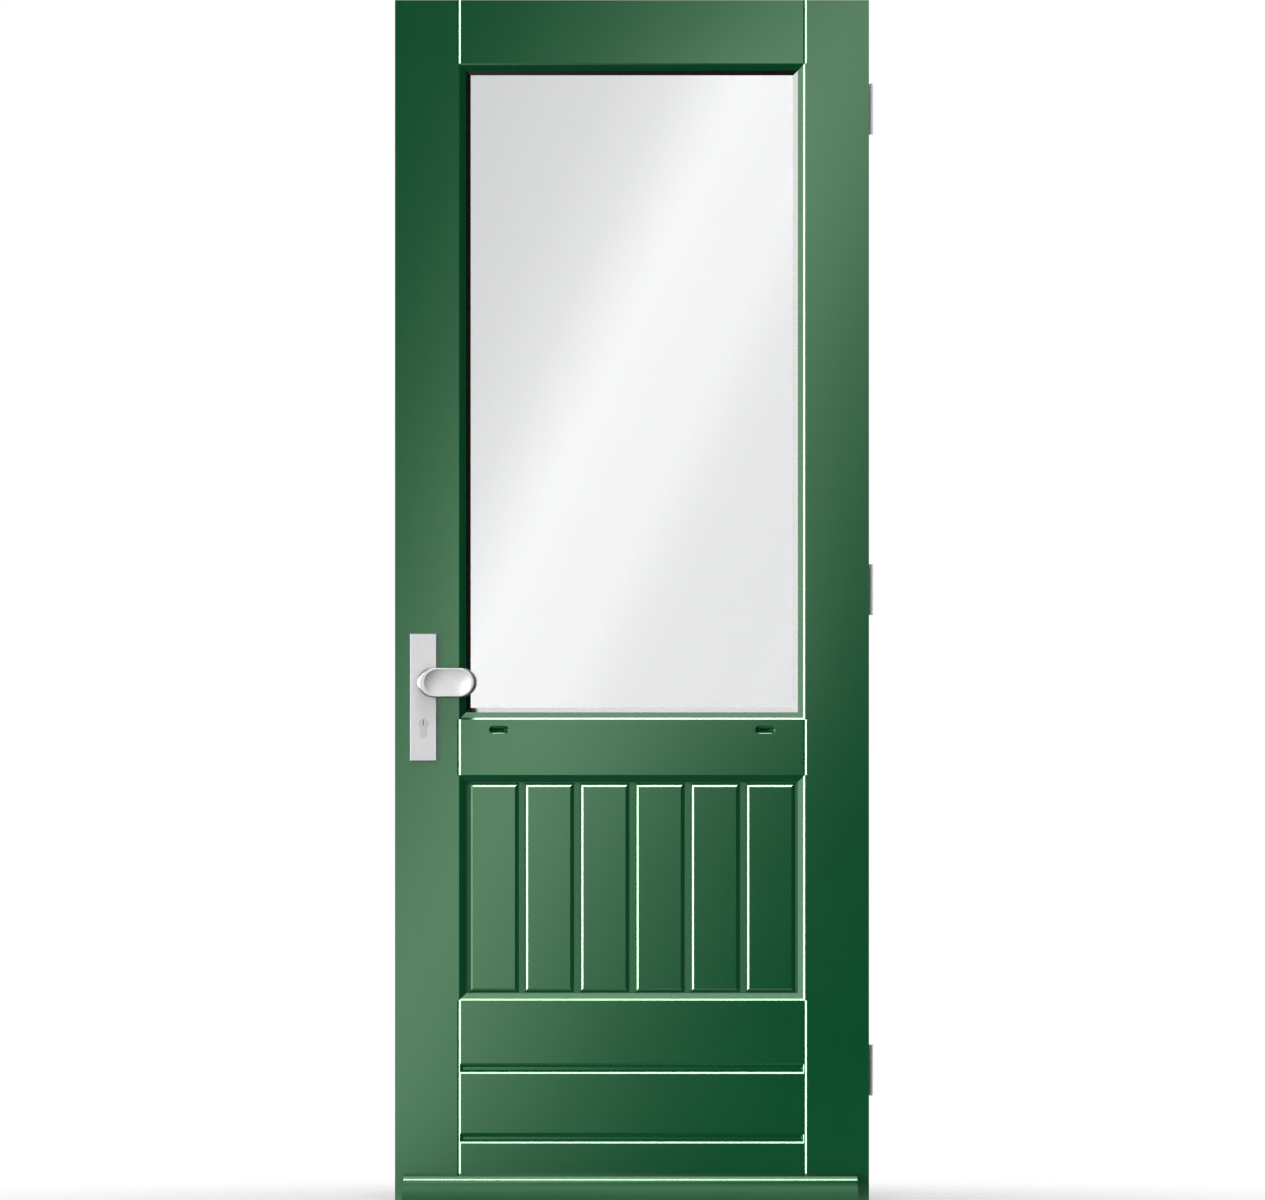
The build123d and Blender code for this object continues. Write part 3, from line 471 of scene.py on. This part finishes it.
def model_screw(radius, depth):
    """A flat screw head with a broken rim and a cross recess, facing +Z, at the origin."""
    bpy.ops.object.select_all(action="DESELECT")
    bpy.ops.mesh.primitive_cylinder_add(vertices=screw_sides, radius=radius, depth=depth)
    head = bpy.context.active_object
    apply_modifier(
        head, "BEVEL", width=depth * screw_rim_share, segments=edge_steps, limit_method="ANGLE"
    )
    reach = recess_reach * radius / screw_head_radius
    for arm in range(recess_arms):
        bpy.ops.object.select_all(action="DESELECT")
        bpy.ops.mesh.primitive_cube_add(size=1, location=(0, 0, depth / 2))
        cutter = bpy.context.active_object
        cutter.scale = (2 * reach, recess_width, 2 * recess_depth)
        cutter.rotation_euler.z = arm * math.pi / recess_arms
        bpy.context.view_layer.update()
        combine(head, cutter, "DIFFERENCE")
    head.select_set(True)
    bpy.context.view_layer.objects.active = head
    bpy.ops.object.shade_smooth_by_angle(angle=math.radians(screw_smooth_angle))
    return head


def place_copies(pattern, name, places, turn, material, body):
    """Copies of a pattern, each with its own mesh, turned and set in their places."""
    for index, place in enumerate(places):
        copy = pattern.copy()
        copy.data = pattern.data.copy()
        bpy.context.scene.collection.objects.link(copy)
        copy.location = place
        copy.rotation_euler = turn
        settle(copy, f"{name}_{index + 1}", material, body)


facing_right = (0, math.pi / 2, 0)
facing_left = (0, -math.pi / 2, 0)
facing_inside = (-math.pi / 2, 0, 0)
facing_outside = (math.pi / 2, 0, 0)

hinge_places = []
hinge_screw_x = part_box("hinge_stile")[1].x + screw_proud - screw_head_depth / 2
for level in ("bottom", "middle", "top"):
    low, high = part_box(f"hinge_{level}_door_leaf")
    y, z = low.y + hinge_screw_margin, (low.z + high.z) / 2
    for side in (-1, 1):
        hinge_places.append((hinge_screw_x, y, z + side * hinge_screw_spacing / 2))
    hinge_places.append((hinge_screw_x, y + hinge_screw_stagger, z))

forend_low, forend_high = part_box("lock_forend")
forend_x = forend_low.x - screw_proud + screw_head_depth / 2
forend_heights = (
    forend_low.z + forend_screw_margin,
    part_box("cylinder_body")[0].z + cylinder_screw_rise,
    forend_high.z - forend_screw_margin,
)
forend_places = [(forend_x, 0, height) for height in forend_heights]

screw = model_screw(screw_head_radius, screw_head_depth)
place_copies(screw, "hinge_screw", hinge_places, facing_right, brushed_steel, "door_leaf")
place_copies(screw, "forend_screw", forend_places, facing_left, brushed_steel, "door_leaf")
bpy.data.objects.remove(screw)

plate_low, plate_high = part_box("inside_plate")
bolt_x = (plate_low.x + plate_high.x) / 2
bolt_y = plate_high.y + screw_proud - screw_head_depth / 2
bolt_heights = (plate_low.z + plate_bolt_margin, plate_high.z - plate_bolt_margin)
bolt_places = [(bolt_x, bolt_y, height) for height in bolt_heights]
bolt = model_screw(plate_bolt_radius, screw_head_depth)
place_copies(bolt, "plate_bolt", bolt_places, facing_inside, brushed_steel, "door_leaf")
bpy.data.objects.remove(bolt)


# Outside knob
def pick(piece, test):
    """Select only those vertices of the piece in edit mode whose place passes a test."""
    bpy.ops.mesh.select_mode(type="VERT")
    bpy.ops.mesh.select_all(action="DESELECT")
    bpy.ops.object.mode_set(mode="OBJECT")
    for vertex in piece.data.vertices:
        vertex.select = test(vertex.co)
    bpy.ops.object.mode_set(mode="EDIT")


def oval_slab(middle, length, height, flat_length, run):
    """An upright slab with an oval outline that starts at a place and goes along a run."""
    bpy.ops.object.select_all(action="DESELECT")
    bpy.ops.mesh.primitive_circle_add(
        vertices=oval_sides,
        radius=0.5,
        fill_type="NGON",
        location=middle,
        rotation=facing_outside,
    )
    slab = bpy.context.active_object
    slab.scale = (length - flat_length, height, 1)
    bpy.ops.object.transform_apply(location=True, rotation=True, scale=True)
    bpy.ops.object.mode_set(mode="EDIT")
    for side in (-1, 1):
        pick(slab, lambda place: side * (place.x - middle[0]) > oval_middle_reach)
        bpy.ops.transform.translate(value=(side * flat_length / 2, 0, 0))
    bpy.ops.mesh.select_all(action="SELECT")
    bpy.ops.mesh.extrude_region_move(TRANSFORM_OT_translate={"value": run})
    bpy.ops.mesh.select_all(action="SELECT")
    bpy.ops.mesh.normals_make_consistent(inside=False)
    bpy.ops.object.mode_set(mode="OBJECT")
    return slab


def model_head(middle, length, height, back_y, front_y):
    """An oval head whose front rim leans in, further at its ends than at its top and bottom."""
    x, z = middle
    shoulder_y = front_y + rim_depth
    run = (0, shoulder_y - back_y, 0)
    head = oval_slab((x, back_y, z), length, height, knob_flat_length, run)
    bpy.ops.object.mode_set(mode="EDIT")
    pick(head, lambda place: abs(place.y - back_y) < pick_reach)
    bpy.ops.mesh.select_mode(type="EDGE")
    bpy.ops.mesh.bevel(offset=knob_back_radius, segments=rim_steps, affect="EDGES")
    face_y, wide, tall = shoulder_y, length, height
    for step in range(1, rim_steps + 1):
        lean = step / rim_steps * math.pi / 2
        next_y = shoulder_y - rim_depth * math.sin(lean)
        next_wide = length - 2 * rim_lean_ends * (1 - math.cos(lean))
        next_tall = height - 2 * rim_lean_sides * (1 - math.cos(lean))
        pick(head, lambda place: abs(place.y - face_y) < pick_reach)
        bpy.ops.mesh.extrude_region_move(TRANSFORM_OT_translate={"value": (0, next_y - face_y, 0)})
        bpy.ops.transform.resize(
            value=(next_wide / wide, 1, next_tall / tall),
            center_override=(x, next_y, z),
        )
        face_y, wide, tall = next_y, next_wide, next_tall
    bpy.ops.object.mode_set(mode="OBJECT")
    return head


def model_dish(middle, back_y, front_y):
    """The hollow of the knob's face: an oval slab that ends in the belly of a long ball."""
    x, z = middle
    run = (0, 2 * (front_y - back_y), 0)
    dish = oval_slab((x, back_y, z), dish_length, dish_height, dish_flat_length, run)
    spread = 1 / math.sqrt(1 - ((scoop_reach - dish_depth) / scoop_reach) ** 2)
    half_length, half_height = spread * dish_length / 2, spread * dish_height / 2
    bpy.ops.object.select_all(action="DESELECT")
    bpy.ops.mesh.primitive_uv_sphere_add(
        segments=scoop_sides,
        ring_count=scoop_sides // 2,
        radius=1,
        location=(x, front_y + dish_depth - scoop_reach, z),
    )
    ball = bpy.context.active_object
    ball.scale = (scoop_margins[0] * half_length, scoop_reach, scoop_margins[1] * half_height)
    bpy.ops.object.transform_apply(location=True, rotation=True, scale=True)
    combine(dish, ball, "INTERSECT")
    return dish


def model_knob():
    """An oval head with a hollowed face, on an oval neck that leans to the door's middle."""
    low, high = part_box("outside_knob")
    x, z = (low.x + high.x) / 2, (low.z + high.z) / 2
    back_y, front_y = low.y + knob_thickness, low.y
    head = model_head((x, z), high.x - low.x, high.z - low.z, back_y, front_y)
    combine(head, model_dish((x + dish_shift, z), back_y, front_y), "DIFFERENCE")

    plate_low, plate_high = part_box("outside_plate")
    start = ((plate_low.x + plate_high.x) / 2 + neck_shift, plate_low.y, z)
    run = (neck_lean, back_y - plate_low.y - knob_back_radius, 0)
    combine(head, oval_slab(start, neck_length, neck_height, 0, run), "UNION")
    apply_modifier(
        head,
        "BEVEL",
        width=knob_edge,
        segments=edge_steps,
        limit_method="ANGLE",
        angle_limit=math.radians(knob_edge_angle),
    )
    bpy.ops.object.shade_smooth_by_angle(angle=math.radians(knob_smooth_angle))
    return head


knob = model_knob()
settle(knob, "oval_knob", polished_aluminium, "door_leaf")
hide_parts("outside_knob")


# Vents
def model_vent_rim():
    """A rounded oblong ring for a vent's mouth, lying flat at the origin."""
    bpy.ops.object.select_all(action="DESELECT")
    bpy.ops.mesh.primitive_torus_add(
        major_radius=vent_height / 2,
        minor_radius=vent_rim_radius,
        major_segments=vent_rim_sides,
        minor_segments=vent_rim_steps,
    )
    rim = bpy.context.active_object
    bpy.ops.object.mode_set(mode="EDIT")
    for side in (-1, 1):
        pick(rim, lambda place: side * place.x > 0)
        bpy.ops.transform.translate(value=(side * (vent_length - vent_height) / 2, 0, 0))
    bpy.ops.mesh.select_all(action="SELECT")
    bpy.ops.mesh.normals_make_consistent(inside=False)
    bpy.ops.object.mode_set(mode="OBJECT")
    bpy.ops.object.shade_smooth()
    return rim


vent_rim_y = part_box("lock_rail")[0].y + vent_rim_radius
vent_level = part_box("lock_rail")[1].z - vent_drop
vent_sides = (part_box("lock_stile")[0].x + vent_inset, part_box("hinge_stile")[1].x - vent_inset)
vent_places = [(side, vent_rim_y, vent_level) for side in vent_sides]
vent_rim = model_vent_rim()
place_copies(vent_rim, "vent_rim", vent_places, facing_outside, level_paint, "door_leaf")
bpy.data.objects.remove(vent_rim)

# Floor
bpy.ops.object.select_all(action="DESELECT")
bpy.ops.mesh.primitive_plane_add(size=floor_size, location=(0, 0, -floor_drop))
floor = bpy.context.active_object
floor.name = "floor"
floor.data.materials.append(pale_floor())
floor.visible_glossy = False


# Cards and lamps
def hang_card(name, box, distance, material):
    """An upright card in front of the door, of which only the reflection shows."""
    bpy.ops.object.select_all(action="DESELECT")
    bpy.ops.mesh.primitive_plane_add(size=1, rotation=facing_outside)
    card = bpy.context.active_object
    card.name = name
    (left, right), (low, high) = box
    card.scale = (right - left, high - low, 1)
    card.location = ((left + right) / 2, -distance, (low + high) / 2)
    bpy.ops.object.transform_apply(location=True, rotation=True, scale=True)
    card.data.materials.append(material)
    card.visible_camera = False
    card.visible_diffuse = False
    card.visible_shadow = False


door_glow = slanting_glow(
    "door_glow", card_middle, card_slant, door_card_levels, door_card_strength
)
glass_glow = slanting_glow(
    "glass_glow", card_middle, card_slant, glass_card_levels, glass_card_strength
)
sill_glow = slanting_glow(
    "sill_glow", sill_card_middle, sill_card_slant, sill_card_levels, sill_card_strength
)
hang_card("door_card", door_card_box, door_card_distance, door_glow)
hang_card("glass_card", glass_card_box, glass_card_distance, glass_glow)
hang_card("sill_card", sill_card_box, sill_card_distance, sill_glow)


def hang_lamp(name, radiance, left, up, distance, width, height):
    """A soft rectangular lamp in a direction from the door's middle, aimed back at it."""
    bpy.ops.object.light_add(type="AREA")
    lamp = bpy.context.active_object
    lamp.name = name
    lamp.data.shape = "RECTANGLE"
    lamp.data.size = width
    lamp.data.size_y = height
    lamp.data.energy = radiance * math.pi * width * height
    left, up = math.radians(left), math.radians(up)
    away = (-math.sin(left) * math.cos(up), -math.cos(left) * math.cos(up), math.sin(up))
    lamp.location = [distance * step + start for step, start in zip(away, (0, 0, camera_height))]
    lamp.rotation_euler = (math.pi / 2 - up, 0, -left)
    lamp.visible_camera = False
    lamp.visible_transmission = False


for lamp_name, setting in lamps.items():
    hang_lamp(lamp_name, *setting)

# Room: dim in front of the door, white behind it and wherever it is seen directly or through glass
world = bpy.data.worlds.new("room")
bpy.context.scene.world = world
world.use_nodes = True
room = world.node_tree
direction = room.nodes.new("ShaderNodeTexCoord").outputs["Generated"]
split = room.nodes.new("ShaderNodeSeparateXYZ")
room.links.new(direction, split.inputs["Vector"])
fade = room.nodes.new("ShaderNodeMapRange")
fade.interpolation_type = "SMOOTHSTEP"
fade.inputs["From Min"].default_value = 0.0
fade.inputs["From Max"].default_value = room_fade_end
fade.inputs["To Min"].default_value = dim_world
fade.inputs["To Max"].default_value = 1.0
room.links.new(split.outputs["Y"], fade.inputs["Value"])
path = room.nodes.new("ShaderNodeLightPath")
behind = room.nodes.new("ShaderNodeMath")
behind.operation = "GREATER_THAN"
behind.inputs[1].default_value = 0.0
room.links.new(split.outputs["Y"], behind.inputs[0])
mirrored = room.nodes.new("ShaderNodeMath")
mirrored.operation = "MULTIPLY"
room.links.new(behind.outputs["Value"], mirrored.inputs[0])
room.links.new(path.outputs["Is Glossy Ray"], mirrored.inputs[1])
white_rays = (
    path.outputs["Is Camera Ray"],
    path.outputs["Is Transmission Ray"],
    mirrored.outputs["Value"],
)
brightness = fade.outputs["Result"]
for rays in white_rays:
    brighter = room.nodes.new("ShaderNodeMath")
    brighter.operation = "MAXIMUM"
    room.links.new(brightness, brighter.inputs[0])
    room.links.new(rays, brighter.inputs[1])
    brightness = brighter.outputs["Value"]
background = room.nodes["Background"]
background.inputs["Color"].default_value = (1, 1, 1, 1)
room.links.new(brightness, background.inputs["Strength"])

# Camera
bpy.ops.object.camera_add(
    location=(camera_sideways, -camera_distance, camera_height),
    rotation=(math.pi / 2, 0, 0),
)
camera = bpy.context.active_object
camera.data.sensor_width = sensor_width
camera.data.lens = sensor_width * (camera_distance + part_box("lock_stile")[0].y) / picture_width
camera.data.clip_end = camera_clip_end
bpy.context.scene.camera = camera
bpy.context.scene.view_settings.view_transform = "Standard"
